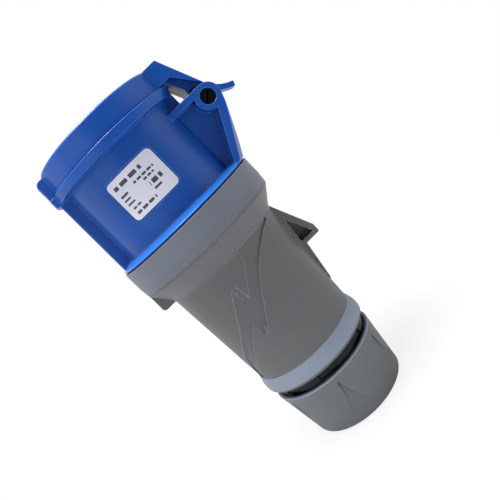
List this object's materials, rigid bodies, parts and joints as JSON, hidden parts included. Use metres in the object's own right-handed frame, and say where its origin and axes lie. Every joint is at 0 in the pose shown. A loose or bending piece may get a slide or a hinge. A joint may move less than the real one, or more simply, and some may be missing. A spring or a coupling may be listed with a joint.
{
  "type": "industrial pin and sleeve connector",
  "caption": "Industrial pin and sleeve cable connector: a round socket mouth with a sprung hinged lid, a tapered grip and a screwed cable gland.",
  "frame": {"origin": "centre of the cable entry in the gland nut's flat end face, on which the connector stands", "axes": "+Z along the body to the lid's top, +X to the lid's hinge, -X to the keyway and the closing lug"},
  "size_m": [0.1104, 0.0864, 0.198],
  "materials": {
    "housing_blue": "moulded blue plastic, satin",
    "handle_grey": "moulded grey plastic, fine matt grain",
    "nut_grey": "moulded grey plastic, fine matt grain",
    "gland_black": "moulded black plastic",
    "pin_black": "dark plastic pin",
    "insert_grey": "insulating moulding, dark grey",
    "seal_rubber": "black sealing rubber",
    "contact_brass": "bare brass",
    "spring_steel": "spring steel wire",
    "screw_steel": "zinc-plated steel",
    "label_white": "printed white foil"
  },
  "bodies": {
    "connector": {"handle_shell": "handle_grey", "gland_body": "gland_black", "gland_ring": "seal_rubber", "cable_seal": "seal_rubber", "front_housing": "housing_blue", "housing_seal": "seal_rubber", "contact_carrier": "insert_grey", "tower_face": "insert_grey", "carrier_base": "insert_grey", "terminal_cover": "insert_grey", "line_contact": "contact_brass", "neutral_contact": "contact_brass", "earth_contact": "contact_brass", "line_clip": "spring_steel", "neutral_clip": "spring_steel", "earth_clip": "spring_steel", "terminal_screws": "screw_steel", "carrier_screws": "screw_steel", "cover_screw": "screw_steel", "rating_label": "label_white", "hinge_pin": "pin_black", "lid_spring": "spring_steel"},
    "hinged_lid": {"lid": "housing_blue", "lid_gasket": "seal_rubber"},
    "collet": {"clamp_collet": "gland_black"},
    "nut": {"gland_nut": "nut_grey"}
  },
  "joints": [
    {"name": "lid_hinge", "type": "hinge", "parent": "connector", "child": "hinged_lid", "pos_m": [0.0483, 0, 0.1674], "axis": [0, 1, 0], "range_deg": [0, 106], "stiffness_Nm_per_rad": 0.05, "springref_deg": -85.94, "deforming": ["lid_spring"]},
    {"name": "nut_advance", "type": "slide", "parent": "connector", "child": "collet", "axis": [0, 0, 1], "range_m": [0, 0.0045]},
    {"name": "nut_turn", "type": "hinge", "parent": "collet", "child": "nut", "pos_m": [0, 0, 0], "axis": [0, 0, 1], "range_deg": [0, 540]}
  ],
  "couplings": [
    {"joint": "nut_advance", "follows": "nut_turn", "m_per_rad": 0.00047746}
  ]
}
